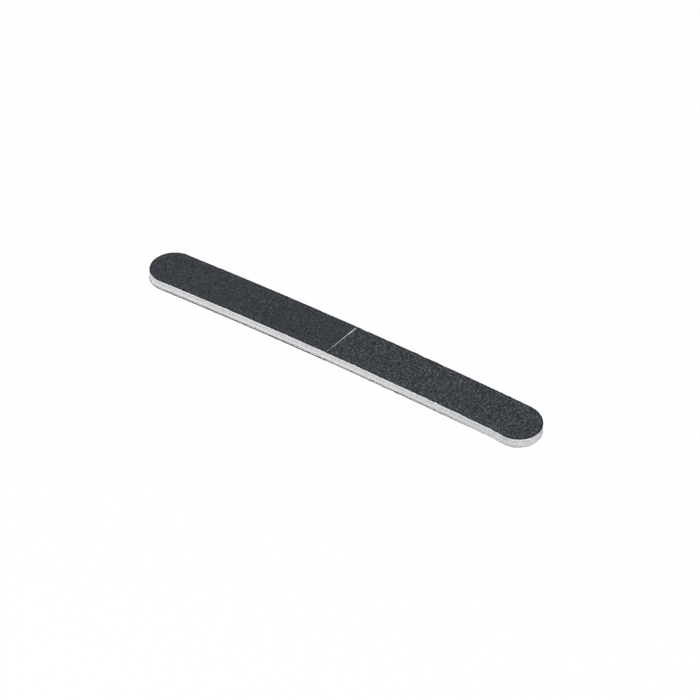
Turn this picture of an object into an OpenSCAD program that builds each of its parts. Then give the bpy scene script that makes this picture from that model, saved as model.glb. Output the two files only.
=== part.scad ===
// Emery board: a padded nail file with half-round ends.
// A stiff core lies between two layers of foam. Each face carries two abrasive sheets,
// one fine and one coarse, whose ends butt together near the middle of the board.
// Films of adhesive join the layers. The whole stack is arched a little along its length,
// so every face is an arc about one axis, and the board rests on its two tips, where the
// coat underneath is pressed flat.
// X runs along the board with the coarse half at +X, and Z is up. The origin is on the
// surface that the board lies on, halfway between the tips.

/* [Board] */
// Length from tip to tip
board_len = 178; // [120:1:240]
// Width between the long edges; each end is a half circle of this width
board_w = 19; // [12:0.5:30]
// How far the middle of the underside stands above the surface that the tips rest on
board_bow = 2; // [0.5:0.1:4]
// Depth to which the coat underneath is pressed flat at each tip
tip_flat = 0.04; // [0.02:0.01:0.08]

/* [Core] */
// Thickness of the stiff plastic core
core_t = 1.1; // [0.6:0.1:2]

/* [Foam] */
// Thickness of each layer of foam
foam_t = 1; // [0.5:0.1:2.5]
// How far the cut edge of the foam is drawn in from the edge of the board
foam_inset = 0.15; // [0.05:0.05:0.5]

/* [Adhesive] */
// Thickness of each film of adhesive
film_t = 0.1; // [0.05:0.05:0.2]
// How far each film of adhesive stops short of the edge of the board
film_inset = 0.3; // [0.1:0.05:0.8]

/* [Abrasive sheets] */
// Thickness of the backing paper of every sheet
paper_t = 0.25; // [0.15:0.05:0.5]
// Thickness of every coat of grit, from the paper to the tops of its grains
grit_t = 0.15; // [0.1:0.01:0.4]

/* [Seam] */
// Distance of the seam from the middle of the board, towards the coarse end
seam_shift = 0.8; // [-20:0.1:20]
// Width of the gap that is left where a fine and a coarse sheet meet
seam_gap = 0.4; // [0.1:0.05:1]
// Angle in degrees by which the seam is off square to the length
seam_skew = 4; // [-8:0.5:8]

/* [Hidden] */

// Which face a layer belongs to, and which half of the face a sheet covers
UPPER = 1;
LOWER = -1;
FINE = -1;
COARSE = 1;

// Distances of each layer's faces from the middle of the core, counted outwards
core_face = core_t / 2;
foam_floor = core_face + film_t;
foam_face = foam_floor + foam_t;
paper_floor = foam_face + film_t;
paper_face = paper_floor + paper_t;
stack_half = paper_face + grit_t;

// The underside is an arc that rises by this much between the tips, before they are
// pressed flat. The middle of the core follows an arc about the same axis.
half_len = board_len / 2;
rise = board_bow + tip_flat;
under_r = (half_len * half_len + rise * rise) / (2 * rise);
middle_r = under_r + stack_half;
axis_z = board_bow - under_r;

// The curved sheet is a sector that reaches past the tips before it is cut to the outline
overrun = 3;
sector_half = asin((half_len + overrun) / under_r);
arc_steps = 48;
arc_fn = ceil(arc_steps * 180 / sector_half);
end_fn = 180;

// Outline of the board, drawn in by inset all round
module outline(inset) {
  end_centre = half_len - board_w / 2;
  square([2 * end_centre, board_w - 2 * inset], center = true);
  for (end = [-1, 1])
    translate([end * end_centre, 0])
      circle(r = board_w / 2 - inset, $fn = end_fn);
}

// Upright block with the outline of the board, taller than the stack. It stands on the
// surface that the board lies on, so it also cuts the flats of the tips.
module cutter(inset) {
  linear_extrude(height = board_bow + 3 * stack_half)
    outline(inset);
}

// Curved slab between two distances from the middle of the core, positive upwards
module curved_slab(from, to) {
  translate([0, 0, axis_z])
    rotate([90, 0, 0])
      rotate([0, 0, 90 - sector_half])
        rotate_extrude(angle = 2 * sector_half, $fn = arc_fn)
          translate([middle_r + from, -board_w])
            square([to - from, 2 * board_w]);
}

// One whole layer on the upper or lower side of the core, between two distances from it
module layer(side, near, far, inset) {
  intersection() {
    curved_slab(min(side * near, side * far), max(side * near, side * far));
    cutter(inset);
  }
}

// The fine or the coarse part of a layer, cut back from the seam by half of its gap
module half_layer(side, half, near, far) {
  intersection() {
    layer(side, near, far, 0);
    translate([seam_shift, 0, 0])
      rotate([0, 0, -seam_skew])
        translate([half * (seam_gap / 2 + board_len), 0, board_bow + stack_half])
          cube([2 * board_len, 3 * board_w, 2 * board_bow + 4 * stack_half], center = true);
  }
}

module core_board() {
  color("#efefec")
    layer(UPPER, -core_face, core_face, 0);
}

module core_adhesive(side) {
  color("#d9d3bd")
    layer(side, core_face, foam_floor, film_inset);
}

module foam(side) {
  color("#dcdde0")
    layer(side, foam_floor, foam_face, foam_inset);
}

module paper_adhesive(side) {
  color("#d9d3bd")
    layer(side, foam_face, paper_floor, film_inset);
}

module fine_paper(side) {
  color("#e4e2da")
    half_layer(side, FINE, paper_floor, paper_face);
}

module coarse_paper(side) {
  color("#e4e2da")
    half_layer(side, COARSE, paper_floor, paper_face);
}

module fine_grit(side) {
  color("#3b3e43")
    half_layer(side, FINE, paper_face, stack_half);
}

module coarse_grit(side) {
  color("#414549")
    half_layer(side, COARSE, paper_face, stack_half);
}

module upper_core_adhesive() { core_adhesive(UPPER); }
module lower_core_adhesive() { core_adhesive(LOWER); }
module upper_foam() { foam(UPPER); }
module lower_foam() { foam(LOWER); }
module upper_paper_adhesive() { paper_adhesive(UPPER); }
module lower_paper_adhesive() { paper_adhesive(LOWER); }
module upper_fine_paper() { fine_paper(UPPER); }
module upper_coarse_paper() { coarse_paper(UPPER); }
module lower_fine_paper() { fine_paper(LOWER); }
module lower_coarse_paper() { coarse_paper(LOWER); }
module upper_fine_grit() { fine_grit(UPPER); }
module upper_coarse_grit() { coarse_grit(UPPER); }
module lower_fine_grit() { fine_grit(LOWER); }
module lower_coarse_grit() { coarse_grit(LOWER); }

core_board();
upper_core_adhesive();
lower_core_adhesive();
upper_foam();
lower_foam();
upper_paper_adhesive();
lower_paper_adhesive();
upper_fine_paper();
upper_coarse_paper();
lower_fine_paper();
lower_coarse_paper();
upper_fine_grit();
upper_coarse_grit();
lower_fine_grit();
lower_coarse_grit();
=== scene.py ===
"""Looks of a padded emery board: its grit coats, backing papers, foam, core and adhesive.

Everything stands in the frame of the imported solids, in metres. X runs along the board with
the coarse half at +X, Z is up, and the origin is on the surface that the board lies on.
"""

import math
from functools import cached_property
from typing import NamedTuple

import bmesh
import bpy
import numpy as np
from bpy.props import FloatProperty, FloatVectorProperty, PointerProperty
from bpy.types import Operator, Panel, PropertyGroup
from mathutils import Matrix, Vector


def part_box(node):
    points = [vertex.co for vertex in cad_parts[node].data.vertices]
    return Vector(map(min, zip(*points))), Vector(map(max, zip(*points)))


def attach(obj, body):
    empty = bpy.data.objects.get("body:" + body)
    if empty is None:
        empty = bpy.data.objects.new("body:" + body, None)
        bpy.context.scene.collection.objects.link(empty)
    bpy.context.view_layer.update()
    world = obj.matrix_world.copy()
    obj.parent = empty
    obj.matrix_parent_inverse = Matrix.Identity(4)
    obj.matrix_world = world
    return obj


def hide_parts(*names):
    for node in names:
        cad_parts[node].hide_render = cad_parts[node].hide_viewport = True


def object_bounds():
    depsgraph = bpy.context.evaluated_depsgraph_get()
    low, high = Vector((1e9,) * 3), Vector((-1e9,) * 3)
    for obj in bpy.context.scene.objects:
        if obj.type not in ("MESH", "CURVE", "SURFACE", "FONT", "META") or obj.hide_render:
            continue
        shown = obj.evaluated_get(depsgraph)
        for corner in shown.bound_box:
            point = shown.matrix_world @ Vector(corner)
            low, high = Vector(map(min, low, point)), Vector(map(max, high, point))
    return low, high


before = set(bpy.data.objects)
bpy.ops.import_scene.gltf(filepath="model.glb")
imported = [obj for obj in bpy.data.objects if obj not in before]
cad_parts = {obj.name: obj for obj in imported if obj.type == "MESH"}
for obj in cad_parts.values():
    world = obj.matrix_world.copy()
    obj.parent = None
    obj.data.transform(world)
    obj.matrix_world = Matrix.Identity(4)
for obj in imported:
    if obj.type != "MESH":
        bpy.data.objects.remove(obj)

bl_info = {
    "name": "Padded Emery Board",
    "version": (1, 0, 0),
    "blender": (4, 5, 0),
    "location": "View3D > Sidebar > Emery Board",
    "description": "Dresses the solids of a padded two-grit emery board",
    "category": "Object",
}

CAD_BOUNDS = [[float(value) for value in corner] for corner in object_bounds()]
BODY = "root"
MM = 0.001
PHOTO_SIZE = 700
SENSOR_WIDTH = 36.0

# The outline is every point END_R from the line that joins the two end centres
HALF_LEN = (CAD_BOUNDS[1][0] - CAD_BOUNDS[0][0]) / 2
END_R = (CAD_BOUNDS[1][1] - CAD_BOUNDS[0][1]) / 2
END_X = HALF_LEN - END_R

# Which half of the board a sheet covers, and which side of the core a layer is on
FINE = -1
COARSE = 1
UPPER = 1
LOWER = -1
WORDS = {UPPER: "upper", LOWER: "lower"}
GRIT_WORDS = {FINE: "fine", COARSE: "coarse"}

# Where the cut turns clean along the coarse half's lower edge, and where it turns back; the
# painted shadow under the lower paper's edge fades there too
CLEAN_FROM = (0.6 * HALF_LEN, 0.84 * HALF_LEN)
CLEAN_TO = (0.9 * HALF_LEN, 0.94 * HALF_LEN)

# The gap between the fine and the coarse sheets
SEAM_GAP = 0.4 * MM

# How much fuller the outline is where the near side turns into the coarse end, and over
# what length
FULL_CORNER = 0.4 * MM
FULL_CORNER_LENGTH = 4.5 * MM

# How far the coats reach into the seam where it has closed, beside each long edge, and how
# far from the middle line it begins to close
SEAM_CLOSED = -0.19 * MM
SEAM_CLOSED_FROM = 8.5 * MM

# How far in from a cut edge its raggedness and the burr under it have mostly faded
RAGGED_REACH = 0.3 * MM

# Painted shade that darkens the pale edges towards the coarse end, the grit smeared over the
# papers' cut edge together with painted shadow under the board's lower edge, the nicks under
# a coat, dust and painted shade in the seam, dust on the foam, the grit's painted glints and
# its pale dust
PAINTED_END_SHADE = (0.06, 0.061, 0.065)
GRIT_SMEAR_AND_SHADOW = (0.045, 0.048, 0.054)
NICK = (0.07, 0.072, 0.078)
SEAM_DUST_AND_SHADE = (0.2, 0.205, 0.215)
FOAM_DUST = (0.2, 0.2, 0.21)
PAINTED_GLINT = (0.30, 0.31, 0.33)
PALE_DUST = (0.35, 0.36, 0.38)

# The share of painted shade on each layer's edge where there is most of it, at the coarse end
MOST_END_SHADE = {
    "upper_paper": 0.3, "upper_foam": 0.06, "core_board": 0.13, "lower_foam": 0.25,
    "lower_paper": 0.0}

# The floor reaches this far each way, and the eye sees this share of it as plain white
FLOOR_REACH = 3.0
FLOOR_WHITE = 0.97

# Each lamp's place and width. The setting of its power has its name
LAMPS = {
    "key": ((0.06, -0.75, 0.95), 0.5),
    "left": ((-1.0, 0.0, 0.55), 0.6),
    "right": ((1.0, 0.2, 0.45), 0.6),
}


class Grit(NamedTuple):
    """How a grit differs from the other one: the width of its clusters in grains, how far
    its tones differ, how far its edge swells and chips, and how far the lower coat's edge
    stands out."""

    cluster: float
    spread: float
    bulge: float
    chip_share: float
    proud: float


GRITS = {
    FINE: Grit(cluster=2.2, spread=0.87, bulge=0.08 * MM, chip_share=0.6, proud=0.17 * MM),
    COARSE: Grit(cluster=1.5, spread=1.14, bulge=0.14 * MM, chip_share=0.9, proud=0.05 * MM),
}


def axis_height():
    """Height of the axis that every layer curves about, from the arc of the core's upper
    face: a chord of half length x that sags by d belongs to a circle of radius
    (x^2 + d^2) / 2d."""
    film_low, film_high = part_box("upper_core_adhesive")
    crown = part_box("core_board")[1].z
    sag = crown - film_low.z
    radius = (film_high.x**2 + sag**2) / (2 * sag)
    return crown - radius


AXIS_Z = axis_height()


def layer_radii(node):
    """Distances of a node's lower and upper face from the axis: the lower face ends at the
    box's bottom, at the tip, and the upper face crests at its top, in the middle. A lower
    coat's tip is pressed flat, so that coat is given the thickness of the one above."""
    low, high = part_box(node)
    crest_x = max(low.x, 0.0, -high.x)
    upper_r = math.hypot(high.z - AXIS_Z, crest_x)
    if node in ("lower_fine_grit", "lower_coarse_grit"):
        thinner, thicker = layer_radii(node.replace("lower", "upper"))
        return upper_r - (thicker - thinner), upper_r
    return math.hypot(low.z - AXIS_Z, max(abs(low.x), abs(high.x))), upper_r


def seam_line():
    """The seam's place and slope, from the fine and the coarse sheet's boxes: each box ends
    at the sheet's farthest corner, half a board's width off the middle line."""
    fine_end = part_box("upper_fine_grit")[1].x
    coarse_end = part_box("upper_coarse_grit")[0].x
    return (fine_end + coarse_end) / 2, (fine_end - coarse_end + SEAM_GAP) / (2 * END_R)


SEAM_X, SEAM_SLOPE = seam_line()


class BoardSizes(PropertyGroup):
    """Sizes of the surface detail that a user may change."""

    coarse_grain: FloatProperty(
        name="Coarse grain", description="Width of the coarse grit's clusters of grains",
        default=0.5 * MM, unit="LENGTH", precision=5)
    coarse_relief: FloatProperty(
        name="Coarse relief", description="Height of the coarse grains above their resin",
        default=0.13 * MM, unit="LENGTH", precision=5)
    fine_grain: FloatProperty(
        name="Fine grain", description="Width of the fine grit's clusters of grains",
        default=0.36 * MM, unit="LENGTH", precision=5)
    fine_relief: FloatProperty(
        name="Fine relief", description="Height of the fine grains above their resin",
        default=0.075 * MM, unit="LENGTH", precision=5)
    coat_pitch: FloatProperty(
        name="Coat mesh pitch", description="Distance between a grit coat's mesh points",
        default=0.155 * MM, unit="LENGTH", precision=5)
    layer_pitch: FloatProperty(
        name="Layer mesh pitch", description="Distance between the other layers' stations",
        default=0.2 * MM, unit="LENGTH", precision=5)
    edge_roll: FloatProperty(
        name="Edge roll", description="How far the die presses the upper sheets' edge down",
        default=0.15 * MM, unit="LENGTH", precision=5)
    edge_burr: FloatProperty(
        name="Edge burr", description="How far the die pushes the lower sheets' edge out",
        default=0.24 * MM, unit="LENGTH", precision=5)
    edge_roll_reach: FloatProperty(
        name="Edge roll reach", description="How far in the edge roll has mostly faded",
        default=0.5 * MM, unit="LENGTH", precision=5)
    edge_chip: FloatProperty(
        name="Edge chips", description="Depth of the chips along the edge of a coat",
        default=0.22 * MM, unit="LENGTH", precision=5)
    seam_wear_far: FloatProperty(
        name="Seam wear, far side", description="Grit lost beside the seam at +Y",
        default=0.47 * MM, unit="LENGTH", precision=5)
    seam_wear_near: FloatProperty(
        name="Seam wear, near side", description="Grit lost beside the seam at -Y",
        default=-0.09 * MM, unit="LENGTH", precision=5)
    seam_lip: FloatProperty(
        name="Seam lip", description="How far the paper's cut edge stands up in the seam",
        default=0.07 * MM, unit="LENGTH", precision=5)
    seam_lean: FloatProperty(
        name="Seam lean", description="Slope of the sheets' cut beyond that of the solids",
        default=0.05, precision=3)
    seam_offset: FloatProperty(
        name="Seam offset", description="How far the sheets' cut lies from the solids' seam",
        default=-0.4 * MM, unit="LENGTH", precision=5)
    foam_bulge: FloatProperty(
        name="Foam bulge", description="How far the foam's cut edge swells in its middle",
        default=0.08 * MM, unit="LENGTH", precision=5)
    foam_cell: FloatProperty(
        name="Foam cell", description="Width of the cells on the foam's cut edge",
        default=0.3 * MM, unit="LENGTH", precision=5)
    core_score: FloatProperty(
        name="Core score", description="Width of the upright scores on the core's cut edge",
        default=0.45 * MM, unit="LENGTH", precision=5)


class BoardColours(PropertyGroup):
    """Colours of the board's materials."""

    fine_grit: FloatVectorProperty(
        name="Fine grit", description="Mean colour of the fine grit", subtype="COLOR",
        size=3, min=0, max=1, default=(0.0362, 0.0409, 0.0497))
    coarse_grit: FloatVectorProperty(
        name="Coarse grit", description="Mean colour of the coarse grit", subtype="COLOR",
        size=3, min=0, max=1, default=(0.0382, 0.0433, 0.0524))
    backing_paper: FloatVectorProperty(
        name="Backing paper", description="Cut edge and bare patches of the paper",
        subtype="COLOR", size=3, min=0, max=1, default=(0.86, 0.865, 0.875))
    cushion_foam: FloatVectorProperty(
        name="Cushion foam", description="Cut edge of the foam", subtype="COLOR",
        size=3, min=0, max=1, default=(0.725, 0.732, 0.742))
    core_plastic: FloatVectorProperty(
        name="Core plastic", description="Cut edge of the core", subtype="COLOR",
        size=3, min=0, max=1, default=(0.745, 0.75, 0.756))
    # Dark grey: painted shade of the grooves that the films lie in
    adhesive_film: FloatVectorProperty(
        name="Adhesive film", description="Films between the layers", subtype="COLOR",
        size=3, min=0, max=1, default=(0.38, 0.385, 0.39))


class StageSettings(PropertyGroup):
    """Camera and lamps."""

    azimuth: FloatProperty(
        name="Azimuth", description="Direction that the camera looks from, round the board",
        subtype="ANGLE", default=math.radians(32.36))
    elevation: FloatProperty(
        name="Elevation", description="Height that the camera looks down from",
        subtype="ANGLE", default=math.radians(42.87))
    roll: FloatProperty(
        name="Roll", description="Turn of the camera about its own line of sight",
        subtype="ANGLE", default=math.radians(0.74))
    distance: FloatProperty(
        name="Distance", description="From the camera to the origin",
        unit="LENGTH", default=1.105)
    pixels_per_metre: FloatProperty(
        name="Pixels per metre", description="Scale of the picture at the origin",
        default=2573.0)
    origin_px: FloatVectorProperty(
        name="Origin in the picture", description="Pixel that shows the origin",
        size=2, default=(340.67, 350.74))
    key_power: FloatProperty(
        name="Key lamp", description="Power of the soft lamp above the board",
        subtype="POWER", default=9.0)
    left_power: FloatProperty(
        name="Left lamp", description="Power of the soft lamp beside the fine end",
        subtype="POWER", default=2.6)
    right_power: FloatProperty(
        name="Right lamp", description="Power of the soft lamp beside the coarse end",
        subtype="POWER", default=4.0)
    sky: FloatProperty(
        name="Sky", description="Strength of the even light from all round", default=0.26)


def hashed(column, row, seed):
    """A fixed number from 0 to 1 for each pair of whole numbers: the fraction of a large
    multiple of the sine of their weighted sum."""
    wave = np.sin(column * 127.1 + row * 311.7 + seed * 74.7) * 43758.5453
    return wave - np.floor(wave)


def smooth_noise(u, v, seed, wrap=None):
    """Smooth noise from 0 to 1: each whole-number corner has a fixed number, and between
    corners they blend by 3t^2 - 2t^3. With wrap, it repeats after that many columns."""
    column, row = np.floor(u), np.floor(v)
    s, t = u - column, v - row
    s, t = s * s * (3 - 2 * s), t * t * (3 - 2 * t)
    after = column + 1
    if wrap:
        column, after = np.mod(column, wrap), np.mod(after, wrap)
    lower = hashed(column, row, seed) * (1 - s) + hashed(after, row, seed) * s
    upper = hashed(column, row + 1, seed) * (1 - s) + hashed(after, row + 1, seed) * s
    return lower * (1 - t) + upper * t


def grains(x, y, size, seed):
    """Grains of grit: one grain stands somewhere in each square of the given size, and a
    point belongs to the nearest. Its height is the grain's own height, less its distance
    from the grain's middle, plus the grain's own lean times that distance. Gives the height
    and the grain's tone, both from 0 to 1."""
    u, v = x / size, y / size
    column, row = np.floor(u), np.floor(v)
    nearest = np.full(u.shape, 9.0)
    height = np.zeros(u.shape)
    tone = np.zeros(u.shape)
    for across in (-1, 0, 1):
        for along in (-1, 0, 1):
            cell_u, cell_v = column + across, row + along
            to_u = cell_u + hashed(cell_u, cell_v, seed) - u
            to_v = cell_v + hashed(cell_u, cell_v, seed + 1) - v
            gap = to_u * to_u + to_v * to_v
            lean = (hashed(cell_u, cell_v, seed + 2) - 0.5) * to_u
            lean = lean + (hashed(cell_u, cell_v, seed + 3) - 0.5) * to_v
            crest = 0.5 + 0.5 * hashed(cell_u, cell_v, seed + 4)
            closer = gap < nearest
            nearest = np.where(closer, gap, nearest)
            height = np.where(closer, crest - 0.5 * np.sqrt(gap) + 0.9 * lean, height)
            tone = np.where(closer, hashed(cell_u, cell_v, seed + 5), tone)
    return np.clip(height, 0, 1), tone


def outline_depth(x, y):
    """How deep a plan point lies inside the outline, and the direction from it straight to
    the outline: END_R less its distance from the line that joins the end centres."""
    over = np.sign(x) * np.maximum(np.abs(x) - END_X, 0)
    reach = np.maximum(np.hypot(over, y), 1e-9)
    return END_R - reach, over / reach, y / reach


def half_stations(half, gap, pitch, edge_r):
    """Places along a half sheet, from the seam to the tip: even steps to the end centre and
    then even turns round the end. Gives x, the half width and the distance along the edge
    at each."""
    start = half * SEAM_X + gap / 2
    straight = np.linspace(start, END_X, int((END_X - start) / pitch) + 1)
    turns = int(edge_r * math.pi / 2 / pitch)
    turn = np.linspace(0, math.pi / 2, turns + 1)[1:]
    x = np.concatenate([straight, END_X + edge_r * np.sin(turn)])
    width = np.concatenate([np.full(straight.shape, edge_r), edge_r * np.cos(turn)])
    width[-1] = 0
    edge = np.concatenate([straight - start, END_X - start + edge_r * turn])
    return half * x, width, edge


def whole_stations(pitch, edge_r):
    """Places along a whole layer, from tip to tip: even turns round each end with even
    steps between them. Gives the same as half_stations."""
    turns = int(edge_r * math.pi / 2 / pitch)
    turn = np.linspace(0, math.pi / 2, turns + 1)
    straight = np.linspace(-END_X, END_X, int(2 * END_X / pitch) + 1)[1:-1]
    end_x, end_width = END_X + edge_r * np.sin(turn), edge_r * np.cos(turn)
    end_width[-1] = 0
    x = np.concatenate([-end_x[::-1], straight, end_x])
    width = np.concatenate([end_width[::-1], np.full(straight.shape, edge_r), end_width])
    step = np.concatenate([[0], np.hypot(np.diff(x), np.diff(width))])
    return x, width, np.cumsum(step)


def cross_section(face_points, wall_points, back_points):
    """Once round a layer: over its outer face, down one wall, back over its inner face and
    up the other wall. Gives each point's share across, from -1 to 1, and its share of the
    thickness, 0 on the outer face and 1 on the inner one."""
    wall = np.linspace(0, 1, wall_points + 2)[1:-1]
    across = np.concatenate([
        np.linspace(-1, 1, face_points), np.ones(wall_points),
        np.linspace(1, -1, back_points), -np.ones(wall_points)])
    share = np.concatenate([np.zeros(face_points), wall, np.ones(back_points), wall[::-1]])
    return across, share


def rings_to_mesh(name, points, tones=None, open_start=False):
    """Joins the rings of a (stations, ring, 3) array into a closed shell. Rings that shrink
    to a line at a tip are merged, and a ring at the seam is closed with one face."""
    stations, around = points.shape[:2]
    index = np.arange(stations * around).reshape(stations, around)
    ahead = np.roll(index, -1, axis=1)
    quads = np.stack([index[:-1], index[1:], ahead[1:], ahead[:-1]], axis=-1).reshape(-1, 4)
    faces = quads.tolist()
    if open_start:
        faces.append(index[0].tolist())
    if not np.isfinite(points).all():
        raise ValueError(f"{name} has points that are no numbers")
    mesh = bpy.data.meshes.new(name)
    mesh.from_pydata(points.reshape(-1, 3), [], faces)
    if tones is not None:
        for key, values in tones.items():
            layer = mesh.attributes.new(key, "FLOAT", "POINT")
            layer.data.foreach_set("value", values.astype(np.float32).ravel())
    work = bmesh.new()
    work.from_mesh(mesh)
    bmesh.ops.remove_doubles(work, verts=work.verts, dist=1e-7)
    bmesh.ops.recalc_face_normals(work, faces=work.faces)
    work.to_mesh(mesh)
    work.free()
    return mesh


def add_piece(name, mesh, material, slot, *nodes):
    """Puts a mesh in the scene as a piece that stands for CAD nodes and rides on the board."""
    piece = bpy.data.objects.new(name, mesh)
    bpy.context.scene.collection.objects.link(piece)
    mesh.materials.append(material)
    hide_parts(*nodes)
    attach(piece, BODY)
    return piece


def edge_position(edge, across):
    """Distance round the outline: out along the +Y edge to the tip and back along the
    other, so that both meet at the same number at the tip."""
    return np.where(across > 0, edge, 2 * edge[-1] - edge)


def clean_cut(x):
    """Where the die cut the lower edge clean: rises from 0 to 1 over the last third of the
    coarse half and falls back to 0 round its end, each way by 3t^2 - 2t^3."""
    rise = np.clip((x - CLEAN_FROM[0]) / (CLEAN_FROM[1] - CLEAN_FROM[0]), 0, 1)
    fall = np.clip((x - CLEAN_TO[0]) / (CLEAN_TO[1] - CLEAN_TO[0]), 0, 1)
    return rise * rise * (3 - 2 * rise) * (1 - fall * fall * (3 - 2 * fall))


def proud(edge_offset, far):
    """The same outline, that much further out where the cut isn't clean."""

    def offset(x, y, depth, round_edge):
        burr = far * (1 - clean_cut(x)) * np.exp(-depth / RAGGED_REACH)
        return edge_offset(x, y, depth, round_edge) + burr

    return offset


def full_corner(x, y):
    """The die's outline is a little fuller where its near side turns into the coarse end:
    a bell of the distance along that side."""
    bell = np.exp(-(((x - END_X) / FULL_CORNER_LENGTH) ** 2))
    return FULL_CORNER * bell * np.clip(-y / END_R, 0, 1)


def soil(x, most):
    """Painted shade on the edges towards the coarse end, where less light falls on them: none up
    to the middle of the board, then the share of the way to where the end turns round, to the
    power 1.5, and half of that at the tip."""
    held = np.clip(x / END_X, 0, 1) ** 1.5
    tip = np.clip((x - END_X) / END_R, 0, 1)
    return most * held * (1 - 0.5 * tip)


def flat(x, *_):
    """No relief."""
    return np.zeros(x.shape)


def layer_points(
        node, side, stations, section, edge_offset=flat, wall_relief=flat, face_relief=flat,
        roll=None):
    """Surface of one curved layer, as a function of the station and of the place round its
    section. Each point starts on the plan outline scaled by its share across, is pushed
    outwards by edge_offset and by the full corner, which fade with depth, and by
    wall_relief on the walls. Its height is that of an arc about the axis, whose radius goes
    from the outer to the inner face with its share of the thickness, less the relief r on
    the outer face, which a limit m of most of the thickness eases to m (1 - exp(-r / m)).
    A roll of drop and reach takes drop * exp(-depth / reach) * (1 - exp(-height / reach))
    off the height, so that it fades away at the tips, and below the core also where the
    cut is clean. Nothing goes below 0."""
    (x, width, edge), (across, share) = stations, section
    low_r, high_r = layer_radii(node)
    outer, inner = (high_r, low_r) if side == UPPER else (low_r, high_r)
    plan_x = np.repeat(x[:, None], len(across), axis=1)
    plan_y = width[:, None] * across[None, :]
    round_edge = edge_position(edge[:, None], across[None, :])
    depth, out_x, out_y = outline_depth(plan_x, plan_y)
    push = edge_offset(plan_x, plan_y, depth, round_edge)
    push = push + full_corner(plan_x, plan_y) * np.exp(-np.maximum(depth, 0) / END_R)
    push = push + wall_relief(round_edge, share[None, :])
    radius = outer + (inner - outer) * share[None, :]
    most = 0.85 * abs(outer - inner)
    lowered = most * (1 - np.exp(-face_relief(plan_x, plan_y, depth) / most))
    radius = radius + np.sign(inner - outer) * lowered * (share[None, :] == 0)
    plan_x = plan_x + out_x * push
    plan_y = plan_y + out_y * push
    height = AXIS_Z + np.sqrt(radius**2 - plan_x**2)
    if roll:
        drop, reach = roll
        fade = np.exp(-np.maximum(depth, 0) / reach) * (1 - np.exp(-height / reach))
        if side == LOWER:
            fade = fade * (1 - clean_cut(plan_x))
        height = height - drop * fade
    height = np.maximum(height, 0)
    return np.stack([plan_x, plan_y, height], axis=-1)


def skew_to_seam(points, half, edge, wear, sizes):
    """Leans the seam end of a half sheet to the cut's slope and shifts it by the offset,
    by an amount that fades away over the sheet, and draws it back from the seam by wear,
    which fades over about the first millimetre."""
    y = points[..., 1]
    fade = np.clip(1 - edge / END_X, 0, 1)[:, None]
    points[..., 0] += ((SEAM_SLOPE + sizes.seam_lean) * y + sizes.seam_offset) * fade
    near_seam = np.exp(-edge / (0.9 * MM))[:, None]
    points[..., 0] += half * wear(y) * near_seam


class Wire:
    """A number or colour on its way between shader nodes. Python's signs add Math nodes."""

    def __init__(self, shader, socket):
        self.shader = shader
        self.socket = socket

    def math(self, operation, *values):
        """A Math node on this value and up to two others."""
        inputs = {place: value for place, value in enumerate((self,) + values)}
        return self.shader.wire("ShaderNodeMath", {"operation": operation}, inputs)

    def __add__(self, other):
        return self.math("ADD", other)

    def __sub__(self, other):
        return self.math("SUBTRACT", other)

    def __mul__(self, other):
        return self.math("MULTIPLY", other)

    def __rsub__(self, other):
        return self.shader.wire(
            "ShaderNodeMath", {"operation": "SUBTRACT"}, {0: other, 1: self})

    __radd__ = __add__
    __rmul__ = __mul__

    def __abs__(self):
        return self.math("ABSOLUTE")

    def between(self, low, high):
        """Rises smoothly from 0 at low to 1 at high."""
        return self.shader.wire(
            "ShaderNodeMapRange", {"interpolation_type": "SMOOTHSTEP"},
            {"Value": self, "From Min": low, "From Max": high})


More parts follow.
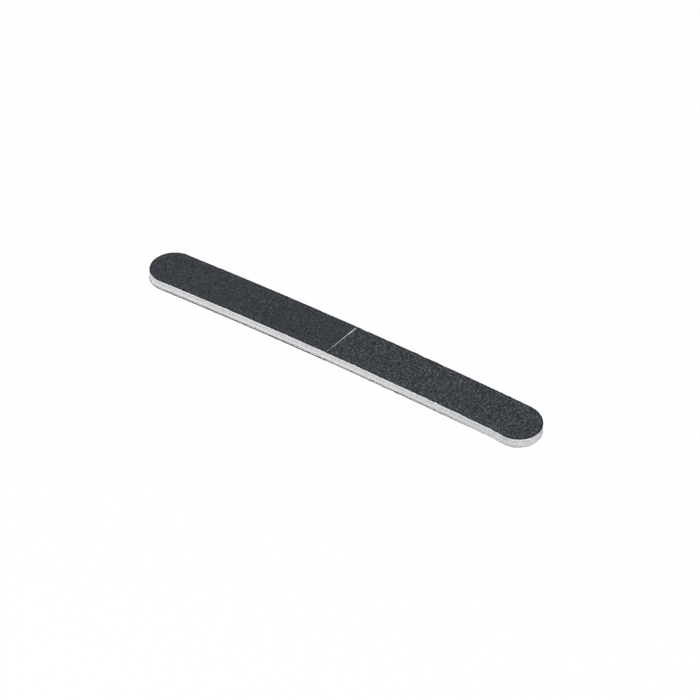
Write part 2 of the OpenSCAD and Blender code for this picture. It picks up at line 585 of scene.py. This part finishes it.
class Shader:
    """The node tree of one material, or of the world."""

    def __init__(self, owner):
        owner.use_nodes = True
        self.owner = owner
        self.tree = owner.node_tree
        self.tree.nodes.clear()

    @classmethod
    def named(cls, name):
        """The node tree of a new material."""
        return cls(bpy.data.materials.new(name))

    @cached_property
    def place(self):
        """Object coordinates, in metres."""
        return self.wire("ShaderNodeTexCoord", output="Object")

    def node(self, kind, settings=(), inputs=()):
        """A new node: its settings first, then the values or links of its sockets."""
        made = self.tree.nodes.new(kind)
        for key, value in dict(settings).items():
            setattr(made, key, value)
        for key, value in dict(inputs).items():
            if isinstance(value, Wire):
                self.tree.links.new(value.socket, made.inputs[key])
            else:
                made.inputs[key].default_value = value
        return made

    def wire(self, kind, settings=(), inputs=(), output=0):
        """One output of a new node."""
        return Wire(self, self.node(kind, settings, inputs).outputs[output])

    def attribute(self, name):
        """A number kept on the mesh."""
        return self.wire("ShaderNodeAttribute", {"attribute_name": name}, output="Fac")

    def axes(self):
        """The three Object coordinates, in metres."""
        split = self.node("ShaderNodeSeparateXYZ", inputs={0: self.place})
        return [Wire(self, split.outputs[axis]) for axis in range(3)]

    def noise(self, size, detail=2.0, stretch=(1, 1, 1)):
        """Cloudy noise from about 0 to 1, with features of the given size in metres."""
        place = self.wire(
            "ShaderNodeVectorMath", {"operation": "MULTIPLY"}, {0: self.place, 1: stretch})
        return self.wire(
            "ShaderNodeTexNoise", {"noise_dimensions": "3D"},
            {"Vector": place, "Scale": 1 / size, "Detail": detail}, "Fac")

    def cells(self, size, output="Distance"):
        """Cells of the given size in metres: the distance to the nearest cell's middle."""
        return self.wire(
            "ShaderNodeTexVoronoi", {"feature": "F1"},
            {"Vector": self.place, "Scale": 1 / size}, output)

    def cell_numbers(self, size):
        """A number from 0 to 1 for each such cell: its random colour, made grey."""
        colour = self.cells(size, "Color")
        return self.wire("ShaderNodeRGBToBW", inputs={0: colour})

    def blend(self, factor, first, second):
        """A colour that goes from first to second with the factor."""
        return self.wire(
            "ShaderNodeMix", {"data_type": "RGBA", "clamp_factor": True},
            {0: factor, 6: opaque(first), 7: opaque(second)}, 2)

    def outline_depth(self):
        """How deep a point lies inside the board's outline, as the function of the same
        name works it out."""
        x, y, _ = self.axes()
        over = (abs(x) - END_X).math("MAXIMUM", 0.0)
        return END_R - (over * over + y * y).math("SQRT")

    def bump(self, height, depth, strength=1.0):
        """A normal that tilts with the height, for a relief of the given depth."""
        return self.wire(
            "ShaderNodeBump", inputs={"Strength": strength, "Distance": depth, "Height": height})

    def surface(self, **sockets):
        """Ends the tree in a Principled shader. Names have underscores for spaces."""
        inputs = {key.replace("_", " "): value for key, value in sockets.items()}
        inputs = {key.replace("Ior", "IOR"): value for key, value in inputs.items()}
        return self.finish(self.wire("ShaderNodeBsdfPrincipled", inputs=inputs))

    def finish(self, surface, output="ShaderNodeOutputMaterial"):
        """Ends the tree in its output node."""
        self.node(output, inputs={"Surface": surface})
        return self.owner


def opaque(colour):
    """A colour with a fourth number, or a wire as it is."""
    return colour if isinstance(colour, Wire) else (*colour[:3], 1.0)


def shade(colour, share):
    """A colour times a number."""
    return tuple(channel * share for channel in colour[:3])


def tinted(colour, *shares):
    """A colour with each channel times its own number."""
    return tuple(channel * share for channel, share in zip(colour, shares))


def grit_material(name, colour, grit, grain):
    """Dark mineral grains in resin. Each grain has its own tone, painted shade darkens the low
    parts and the hollows between grains and clusters, a few faces glint, with a painted glint
    in their colour and a lower roughness, and painted shade darkens the coat's rim, most of all
    along +Y, where the rolled edge turns away from the light, with a paler ring inside it. A
    grain's level is exp(spread * detail), with the brightest held back by a share of detail
    squared."""
    shader = Shader.named(name)
    tone = shader.attribute("grain_tone")
    height = shader.attribute("grain_height")
    cluster = shader.noise(grain * grit.cluster, 2.0)
    facet = shader.cell_numbers(grain * 0.55)
    chip = shader.cell_numbers(grain * 0.26)
    hollow = shader.cells(grain * 0.55)
    # The height and hollow terms paint shade into the low parts and between the grains
    detail = 0.7 * (tone - 0.5) + 1.5 * (height - 0.45) + 3.0 * (cluster - 0.5)
    detail = detail + 1.5 * (facet - 0.5) + 1.3 * (chip - 0.5) - 1.6 * (hollow - 0.38)
    cloud = shader.noise(14 * MM, 2.0, (0.6, 1, 1))
    held = detail - 0.07 * detail * detail
    level = (grit.spread * held).math("EXPONENT") * (0.94 + 0.12 * cloud)
    depth = shader.outline_depth()
    _, y, _ = shader.axes()
    # Painted shade along the coat's rim, strongest along +Y where the rolled edge turns from the
    # light
    rim_shade = (0.1 + 0.5 * y.between(-5 * MM, 2 * MM)) * (
        1.0 - depth.between(0.35 * MM, 1.0 * MM))
    ring = depth.between(0.8 * MM, 1.3 * MM) * (1.0 - depth.between(1.5 * MM, 2.3 * MM))
    level = level * (1.0 - rim_shade + 0.2 * ring)
    cold, warm = tinted(colour, 0.97, 1.0, 1.045), tinted(colour, 1.03, 1.0, 0.96)
    tint = shader.blend(level.between(0.4, 2.0), cold, warm)
    base = shader.wire("ShaderNodeVectorMath", {"operation": "SCALE"}, {0: tint, "Scale": level})
    # Painted glint: the grains that glint get a pale colour as well as a lower roughness
    glint = tone.between(0.98, 0.995) * height.between(0.3, 0.6)
    base = shader.blend(0.45 * glint, base, PAINTED_GLINT)
    dusty = shader.noise(0.9 * MM, 3.0).between(0.62, 0.78)
    base = shader.blend(0.04 * dusty, base, PALE_DUST)
    rough = 0.82 - 0.35 * glint - 0.12 * tone
    crest = 1.0 - hollow - 0.45 * shader.cells(grain * 0.26)
    normal = shader.bump(crest, grain * 0.16, 0.8)
    return shader.surface(
        Base_Color=base, Roughness=rough, Normal=normal, Specular_Ior_Level=0.3)


def paper_material(name, colour, smear_and_shadow):
    """Backing paper: fibres, small differences of tone, a few dark nicks beside the coat,
    dust and painted shade in the seam, painted shade towards the coarse end, and grit that the
    die smeared over the cut edge together with painted shadow under the board's lower edge.
    The last argument is how far down the edge smear and shadow reach; they fade where the edge
    was cut clean and at the tips."""
    shader = Shader.named(name)
    x, _, _ = shader.axes()
    from_coat = shader.attribute("from_coat")
    fibre = shader.noise(0.12 * MM, 4.0, (0.35, 1, 1))
    patch = shader.noise(0.8 * MM, 3.0)
    base = shader.blend(fibre.between(0.3, 0.75), shade(colour, 0.86), colour)
    base = shader.blend(0.5 * patch.between(0.4, 0.75), base, shade(colour, 0.85))
    nick = patch.between(0.6, 0.68) * (1.0 - from_coat.between(0.2, 0.7))
    base = shader.blend(0.7 * nick, base, NICK)
    clean = x.between(*CLEAN_FROM) * (1.0 - x.between(*CLEAN_TO))
    tip = abs(x).between(HALF_LEN * 0.93, HALF_LEN)
    # Grit smear and painted shadow under the board's lower edge darken the paper below its coat
    reach = smear_and_shadow * (1.0 - 0.75 * clean) * (1.0 - 0.45 * tip) * (0.75 + 0.5 * patch)
    smeared_and_shaded = 1.0 - (from_coat - reach).between(-0.2, 0.12)
    base = shader.blend(smeared_and_shaded, base, GRIT_SMEAR_AND_SHADOW)
    # Dust and painted shade in the recess of the seam
    in_seam = 1.0 - shader.attribute("from_seam").between(0.2 * MM, 0.6 * MM)
    base = shader.blend(0.4 * in_seam, base, SEAM_DUST_AND_SHADE)
    # Painted shade towards the coarse end, where less light falls
    base = shader.blend(shader.attribute("soil"), base, PAINTED_END_SHADE)
    normal = shader.bump(fibre, 0.03 * MM, 0.5)
    return shader.surface(
        Base_Color=base, Roughness=0.88 - 0.1 * fibre, Normal=normal, Specular_Ior_Level=0.25)


def foam_material(name, colour):
    """Closed-cell foam: painted shade in the pits where cells are cut open, paler walls between
    them, a mottle and short dark dashes along the board, a painted highlight along the upper
    part of each layer's edge, where light from above falls, a little grit dust, and painted
    shade towards the coarse end."""
    shader = Shader.named(name)
    pit = shader.cells(0.22 * MM)
    mottle = shader.noise(1.6 * MM, 3.0, (0.5, 1, 1))
    dash = shader.noise(0.45 * MM, 2.0, (0.5, 1, 1.4))
    # Painted shade in the pits of the cut cells, paler on the walls between them
    base = shader.blend(pit.between(0.1, 0.6), shade(colour, 0.86), shade(colour, 1.04))
    base = shader.blend(mottle.between(0.3, 0.75) * 0.5, base, shade(colour, 0.9))
    base = shader.blend(dash.between(0.42, 0.62) * 0.85, base, shade(colour, 0.7))
    # Painted highlight on the upper part of the edge, where light from above falls
    base = shader.blend(shader.attribute("upper_rim"), base, shade(colour, 1.24))
    dust = shader.noise(0.25 * MM, 2.0).between(0.66, 0.74)
    base = shader.blend(0.3 * dust, base, FOAM_DUST)
    # Painted shade towards the coarse end, where less light falls
    base = shader.blend(shader.attribute("soil"), base, PAINTED_END_SHADE)
    normal = shader.bump(pit, 0.05 * MM, 0.6)
    return shader.surface(
        Base_Color=base, Roughness=0.8 + 0.1 * mottle, Normal=normal, Specular_Ior_Level=0.3)


def core_material(name, colour):
    """White plastic sheet, with the fine upright scores that the die leaves on its edge,
    short dark dashes along it, and painted shade towards the coarse end."""
    shader = Shader.named(name)
    score = shader.noise(0.35 * MM, 3.0, (1, 1, 0.08))
    mottle = shader.noise(2.2 * MM, 2.0)
    dash = shader.noise(0.5 * MM, 2.0, (0.5, 1, 1.4))
    base = shader.blend(score.between(0.3, 0.7), shade(colour, 0.92), shade(colour, 1.03))
    base = shader.blend(mottle.between(0.35, 0.8) * 0.35, base, shade(colour, 0.9))
    base = shader.blend(dash.between(0.42, 0.62) * 0.8, base, shade(colour, 0.74))
    # Painted shade towards the coarse end, where less light falls
    base = shader.blend(shader.attribute("soil"), base, PAINTED_END_SHADE)
    normal = shader.bump(score, 0.03 * MM, 0.5)
    return shader.surface(
        Base_Color=base, Roughness=0.5 + 0.2 * score, Normal=normal, Specular_Ior_Level=0.4)


def adhesive_material(name, colour):
    """Clear pressure-sensitive film, coloured dark grey as painted shade of the groove it lies
    in, with dust stuck to its edge.
    """
    shader = Shader.named(name)
    cloud = shader.noise(0.7 * MM, 3.0)
    base = shader.blend(cloud.between(0.3, 0.8), colour, shade(colour, 0.7))
    normal = shader.bump(cloud, 0.02 * MM, 0.4)
    return shader.surface(
        Base_Color=base, Roughness=0.35 + 0.3 * cloud, Normal=normal, Specular_Ior_Level=0.5)


def ragged_edge(seed, rough, chip, bulge):
    """The ragged outline of a cut sheet: fine roughness, chips inwards where a slow wave
    is high and bulges outwards where it is low, all fading with depth inside the outline."""

    def offset(x, y, depth, round_edge):
        fine = smooth_noise(round_edge / (0.22 * MM), 0 * y, seed) - 0.5
        wave = smooth_noise(round_edge / (0.9 * MM), 0 * y, seed + 1)
        long_wave = smooth_noise(round_edge / (3.1 * MM), 0 * y, seed + 2)
        dent = np.clip((wave * 0.7 + long_wave * 0.3 - 0.66) / 0.2, 0, 1)
        swell = np.clip((0.3 - wave * 0.7 - long_wave * 0.3) / 0.15, 0, 1)
        total = rough * fine - chip * dent + bulge * swell
        return total * np.exp(-depth / RAGGED_REACH)

    return offset


def edge_drop(side, sizes):
    """The die comes from above: it rolls the upper sheets' edge down into the foam and
    pushes the lower sheets' edge out. Gives the drop and its reach."""
    drop = sizes.edge_roll if side == UPPER else sizes.edge_burr
    return drop, sizes.edge_roll_reach


def build_coat(side, half, sizes, material):
    """One coat of grit: a closed shell whose outer face is a relief of grains. Beside the
    seam it is worn back, from the near side's wear to the far side's by the power 1.5 of
    the share of the way across, and unevenly, in short dashes."""
    name = f"{WORDS[side]}_{GRIT_WORDS[half]}_grit"
    grit = GRITS[half]
    grain = getattr(sizes, f"{GRIT_WORDS[half]}_grain")
    relief = getattr(sizes, f"{GRIT_WORDS[half]}_relief")
    seed = 11 + 7 * (half == FINE) + 3 * (side == UPPER)
    stations = half_stations(half, SEAM_GAP, sizes.coat_pitch, END_R)
    face_points = int(2 * END_R / sizes.coat_pitch) + 1
    section = cross_section(face_points, wall_points=2, back_points=9)
    kept = {}

    def face_relief(x, y, depth):
        single, tone = grains(x, y, grain, seed)
        cluster, _ = grains(x + 0.37 * MM, y, grain * grit.cluster, seed + 20)
        height = 0.55 * single + 0.45 * cluster
        kept["grain_height"], kept["grain_tone"] = height, tone
        hollow = relief * (1 - height)
        return hollow if side == UPPER else hollow * (1 - np.exp(-depth / (0.25 * MM)))

    chip = sizes.edge_chip * grit.chip_share * (1.0 if side == UPPER else 0.3)
    edge = ragged_edge(seed + 40, rough=0.09 * MM, chip=chip, bulge=grit.bulge)
    if side == LOWER:
        edge = proud(edge, grit.proud)
    points = layer_points(
        name, side, stations, section, edge_offset=edge, face_relief=face_relief,
        roll=edge_drop(side, sizes))

    def wear(y):
        share = np.clip(0.5 + 0.5 * y / END_R, 0, 1)
        base = sizes.seam_wear_near + (sizes.seam_wear_far - sizes.seam_wear_near) * share**1.5
        dash = smooth_noise(y / (1.1 * MM), 0 * y, seed + 60)
        fine = smooth_noise(y / (0.3 * MM), 0 * y, seed + 61)
        closed = np.clip((np.abs(y) - SEAM_CLOSED_FROM) / (0.6 * MM), 0, 1)
        worn = base + (0.2 + 0.25 * share) * MM * (dash - 0.5) + 0.08 * MM * (fine - 0.5)
        return np.maximum(worn * (1 - closed) + SEAM_CLOSED * closed, SEAM_CLOSED)

    skew_to_seam(points, half, stations[2], wear, sizes)
    mesh = rings_to_mesh(name + "_relief", points, kept, open_start=True)
    return add_piece(name + "_coat", mesh, material, f"{GRIT_WORDS[half]}_grit", name)


def build_paper(side, half, sizes, material):
    """One sheet of backing paper: thin, with a slightly rough cut edge that frays in the
    seam."""
    name = f"{WORDS[side]}_{GRIT_WORDS[half]}_paper"
    seed = 131 + 7 * (half == FINE) + 3 * (side == UPPER)
    stations = half_stations(half, SEAM_GAP, sizes.layer_pitch, END_R)
    edge = ragged_edge(seed, rough=0.05 * MM, chip=0.05 * MM, bulge=0.03 * MM)
    section = cross_section(face_points=57, wall_points=2, back_points=7)
    points = layer_points(
        name, side, stations, section, edge_offset=edge,
        roll=edge_drop(side, sizes))

    def wear(y):
        fray = smooth_noise(y / (0.35 * MM), 0 * y, seed + 5)
        return 0.12 * MM * fray - 0.21 * MM

    skew_to_seam(points, half, stations[2], wear, sizes)
    points[..., 2] += side * sizes.seam_lip * np.exp(-stations[2] / (0.1 * MM))[:, None]
    kept = {
        "from_coat": np.repeat(section[1][None, :], len(stations[0]), axis=0),
        "from_seam": np.repeat(stations[2][:, None], len(section[1]), axis=1),
        "soil": soil(points[..., 0], MOST_END_SHADE[f"{WORDS[side]}_paper"])}
    mesh = rings_to_mesh(name + "_sheet", points, kept, open_start=True)
    return add_piece(name + "_backing", mesh, material, "backing_paper", name)


def build_foam(side, sizes, material):
    """One layer of foam: its cut edge swells between the sheets by the sine of its share
    of the thickness, and is pitted by cells."""
    name = f"{WORDS[side]}_foam"
    seed = 211 + 5 * (side == UPPER)
    edge_r = END_R - foam_inset(name)
    stations = whole_stations(sizes.layer_pitch, edge_r)
    around = round(2 * stations[2][-1] / sizes.foam_cell)
    cell = 2 * stations[2][-1] / around

    def wall_relief(round_edge, share):
        bow = np.sin(math.pi * share)
        pits = smooth_noise(round_edge / cell, share * 4.0, seed, around)
        fine = smooth_noise(2 * round_edge / cell, share * 9.0, seed + 1, 2 * around)
        on_wall = (share > 0) & (share < 1)
        relief = sizes.foam_bulge * bow + 0.07 * MM * (pits - 0.6) + 0.04 * MM * (fine - 0.5)
        return np.where(on_wall, relief, 0.0)

    section = cross_section(face_points=5, wall_points=9, back_points=5)
    points = layer_points(name, side, stations, section, wall_relief=wall_relief)
    # Share of the painted highlight: most at the top of each foam layer's edge
    upper_rim = (1 - section[1]) ** 1.3 if side == UPPER else section[1] ** 1.5
    kept = {
        "upper_rim": np.repeat(upper_rim[None, :], len(stations[0]), axis=0),
        "soil": soil(points[..., 0], MOST_END_SHADE[name])}
    mesh = rings_to_mesh(name + "_cushion", points, kept)
    piece = add_piece(name + "_cushion", mesh, material, "cushion_foam", name)
    return piece


def foam_inset(name):
    """How far a layer's own edge is drawn in from the outline, from its box."""
    low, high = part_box(name)
    return END_R - (high.y - low.y) / 2


def build_core(sizes, material):
    """The stiff core: a plain edge with shallow upright scores."""
    stations = whole_stations(sizes.layer_pitch, END_R)
    around = round(2 * stations[2][-1] / sizes.core_score)
    cell = 2 * stations[2][-1] / around

    def wall_relief(round_edge, share):
        score = smooth_noise(round_edge / cell, 0.6 * share, 301, around) - 0.7
        on_wall = (share > 0) & (share < 1)
        return np.where(on_wall, 0.04 * MM * score, -0.02 * MM)

    name = "core_board"
    section = cross_section(face_points=5, wall_points=4, back_points=5)
    points = layer_points(name, UPPER, stations, section, wall_relief=wall_relief)
    kept = {"soil": soil(points[..., 0], MOST_END_SHADE[name])}
    mesh = rings_to_mesh(name + "_sheet", points, kept)
    return add_piece(name + "_strip", mesh, material, "core_plastic", name)


class EMERYBOARD_OT_grit_coats(Operator):
    """Model the four coats of grit, fine and coarse on both faces"""

    bl_idname = "emery_board.grit_coats"
    bl_label = "Grit Coats"

    def execute(self, context):
        sizes = context.scene.emery_board_sizes
        colours = context.scene.emery_board_colours
        fine = grit_material("fine_grit", colours.fine_grit, GRITS[FINE], sizes.fine_grain)
        coarse = grit_material(
            "coarse_grit", colours.coarse_grit, GRITS[COARSE], sizes.coarse_grain)
        for side in (UPPER, LOWER):
            build_coat(side, FINE, sizes, fine)
            build_coat(side, COARSE, sizes, coarse)
        return {"FINISHED"}


class EMERYBOARD_OT_backing_papers(Operator):
    """Model the four sheets of backing paper"""

    bl_idname = "emery_board.backing_papers"
    bl_label = "Backing Papers"

    def execute(self, context):
        sizes = context.scene.emery_board_sizes
        colour = context.scene.emery_board_colours.backing_paper
        # The lower sheets' cut edge is darkened far down, by grit smear and painted shadow under
        # the board
        upper = paper_material("upper_backing_paper", colour, smear_and_shadow=-0.3)
        lower = paper_material("lower_backing_paper", colour, smear_and_shadow=0.95)
        for half in (FINE, COARSE):
            build_paper(UPPER, half, sizes, upper)
            build_paper(LOWER, half, sizes, lower)
        return {"FINISHED"}


class EMERYBOARD_OT_foam_layers(Operator):
    """Model the two layers of foam"""

    bl_idname = "emery_board.foam_layers"
    bl_label = "Foam Layers"

    def execute(self, context):
        sizes = context.scene.emery_board_sizes
        material = foam_material(
            "cushion_foam", context.scene.emery_board_colours.cushion_foam)
        for side in (UPPER, LOWER):
            build_foam(side, sizes, material)
        return {"FINISHED"}


class EMERYBOARD_OT_core(Operator):
    """Model the stiff core"""

    bl_idname = "emery_board.core"
    bl_label = "Core"

    def execute(self, context):
        colour = context.scene.emery_board_colours.core_plastic
        build_core(context.scene.emery_board_sizes, core_material("core_plastic", colour))
        return {"FINISHED"}


class EMERYBOARD_OT_adhesive_films(Operator):
    """Give the four adhesive films their finish"""

    bl_idname = "emery_board.adhesive_films"
    bl_label = "Adhesive Films"

    def execute(self, context):
        colour = context.scene.emery_board_colours.adhesive_film
        material = adhesive_material("adhesive_film", colour)
        for side in ("upper", "lower"):
            for place in ("core", "paper"):
                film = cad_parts[f"{side}_{place}_adhesive"]
                film.data.materials.clear()
                film.data.materials.append(material)
        return {"FINISHED"}


def camera_basis(azimuth, elevation, roll):
    """The camera's right, up and backward directions. Azimuth 0 looks along +Y."""
    back = Vector((
        math.sin(azimuth) * math.cos(elevation),
        -math.cos(azimuth) * math.cos(elevation),
        math.sin(elevation)))
    right = Vector((math.cos(azimuth), math.sin(azimuth), 0))
    up = back.cross(right)
    turned_right = right * math.cos(roll) + up * math.sin(roll)
    turned_up = up * math.cos(roll) - right * math.sin(roll)
    return turned_right, turned_up, back


def add_camera(settings):
    """A long lens that looks at the origin, shifted so that the origin falls on its pixel."""
    right, up, back = camera_basis(settings.azimuth, settings.elevation, settings.roll)
    data = bpy.data.cameras.new("camera")
    focal_px = settings.pixels_per_metre * settings.distance
    data.sensor_width = SENSOR_WIDTH
    data.lens = focal_px * SENSOR_WIDTH / PHOTO_SIZE
    data.shift_x = (PHOTO_SIZE / 2 - settings.origin_px[0]) / PHOTO_SIZE
    data.shift_y = (settings.origin_px[1] - PHOTO_SIZE / 2) / PHOTO_SIZE
    data.clip_start = 0.02
    camera = bpy.data.objects.new("camera", data)
    bpy.context.scene.collection.objects.link(camera)
    turn = Matrix((right, up, back)).transposed().to_4x4()
    camera.matrix_world = Matrix.Translation(back * settings.distance) @ turn
    bpy.context.scene.camera = camera


def add_lamp(name, place, size, power):
    """A square soft lamp that faces the origin."""
    data = bpy.data.lights.new(name, "AREA")
    data.shape = "SQUARE"
    data.size = size
    data.energy = power
    lamp = bpy.data.objects.new(name, data)
    bpy.context.scene.collection.objects.link(lamp)
    back = Vector(place).normalized()
    turn = back.to_track_quat("Z", "Y").to_matrix().to_4x4()
    lamp.matrix_world = Matrix.Translation(place) @ turn


def floor_material():
    """White floor that keeps a soft shadow: the eye sees mostly plain white, and light that
    bounces sees a pale matt surface. From below it is clear, so it never hides the board."""
    shader = Shader.named("floor")
    path = shader.node("ShaderNodeLightPath")
    seen = Wire(shader, path.outputs["Is Camera Ray"])
    for way in ("Is Glossy Ray", "Is Transmission Ray"):
        seen = seen.math("MAXIMUM", Wire(shader, path.outputs[way]))
    matt = shader.wire("ShaderNodeBsdfDiffuse", inputs={"Color": (0.92, 0.92, 0.92, 1)})
    white = shader.wire("ShaderNodeEmission", inputs={"Color": (1, 1, 1, 1), "Strength": 1.0})
    lit = shader.wire("ShaderNodeMixShader", inputs={0: FLOOR_WHITE * seen, 1: matt, 2: white})
    clear = shader.wire("ShaderNodeBsdfTransparent")
    behind = shader.wire("ShaderNodeNewGeometry", output="Backfacing")
    return shader.finish(
        shader.wire("ShaderNodeMixShader", inputs={0: behind, 1: lit, 2: clear}))


def build_floor():
    """A wide flat square that the board lies on."""
    near, far = -FLOOR_REACH, FLOOR_REACH
    mesh = bpy.data.meshes.new("floor")
    corners = [(near, near, 0), (far, near, 0), (far, far, 0), (near, far, 0)]
    mesh.from_pydata(corners, [], [(0, 1, 2, 3)])
    mesh.materials.append(floor_material())
    floor = bpy.data.objects.new("floor", mesh)
    bpy.context.scene.collection.objects.link(floor)


def build_world(strength):
    """Even pale light from all round, which the eye sees as plain white."""
    shader = Shader(bpy.data.worlds.new("studio"))
    seen = shader.wire("ShaderNodeLightPath", output="Is Camera Ray")
    level = strength + (1.0 - strength) * seen
    light = shader.wire(
        "ShaderNodeBackground", inputs={"Color": (1, 1, 1, 1), "Strength": level})
    bpy.context.scene.world = shader.finish(light, "ShaderNodeOutputWorld")


class EMERYBOARD_OT_stage(Operator):
    """Set up the floor, the lamps and the camera"""

    bl_idname = "emery_board.stage"
    bl_label = "Stage"

    def execute(self, context):
        settings = context.scene.emery_board_stage
        build_floor()
        build_world(settings.sky)
        for name, (place, width) in LAMPS.items():
            add_lamp(name, place, width, getattr(settings, f"{name}_power"))
        add_camera(settings)
        context.scene.view_settings.view_transform = "Standard"
        return {"FINISHED"}


class EMERYBOARD_PT_board(Panel):
    """Steps that dress the board, in order"""

    bl_idname = "EMERYBOARD_PT_board"
    bl_label = "Emery Board"
    bl_space_type = "VIEW_3D"
    bl_region_type = "UI"
    bl_category = "Emery Board"

    def draw(self, context):
        for operator in OPERATORS:
            self.layout.operator(operator.bl_idname)
        for name in ("emery_board_sizes", "emery_board_colours", "emery_board_stage"):
            group = getattr(context.scene, name)
            for key in group.__annotations__:
                self.layout.prop(group, key)


OPERATORS = (
    EMERYBOARD_OT_grit_coats,
    EMERYBOARD_OT_backing_papers,
    EMERYBOARD_OT_foam_layers,
    EMERYBOARD_OT_core,
    EMERYBOARD_OT_adhesive_films,
    EMERYBOARD_OT_stage,
)
CLASSES = (BoardSizes, BoardColours, StageSettings) + OPERATORS + (EMERYBOARD_PT_board,)


def register():
    for cls in CLASSES:
        bpy.utils.register_class(cls)
    bpy.types.Scene.emery_board_sizes = PointerProperty(type=BoardSizes)
    bpy.types.Scene.emery_board_colours = PointerProperty(type=BoardColours)
    bpy.types.Scene.emery_board_stage = PointerProperty(type=StageSettings)


def unregister():
    del bpy.types.Scene.emery_board_stage
    del bpy.types.Scene.emery_board_colours
    del bpy.types.Scene.emery_board_sizes
    for cls in reversed(CLASSES):
        bpy.utils.unregister_class(cls)


def main():
    """Registers the add-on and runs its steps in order."""
    register()
    bpy.ops.emery_board.grit_coats()
    bpy.ops.emery_board.backing_papers()
    bpy.ops.emery_board.foam_layers()
    bpy.ops.emery_board.core()
    bpy.ops.emery_board.adhesive_films()
    bpy.ops.emery_board.stage()


if __name__ == "__main__":
    main()
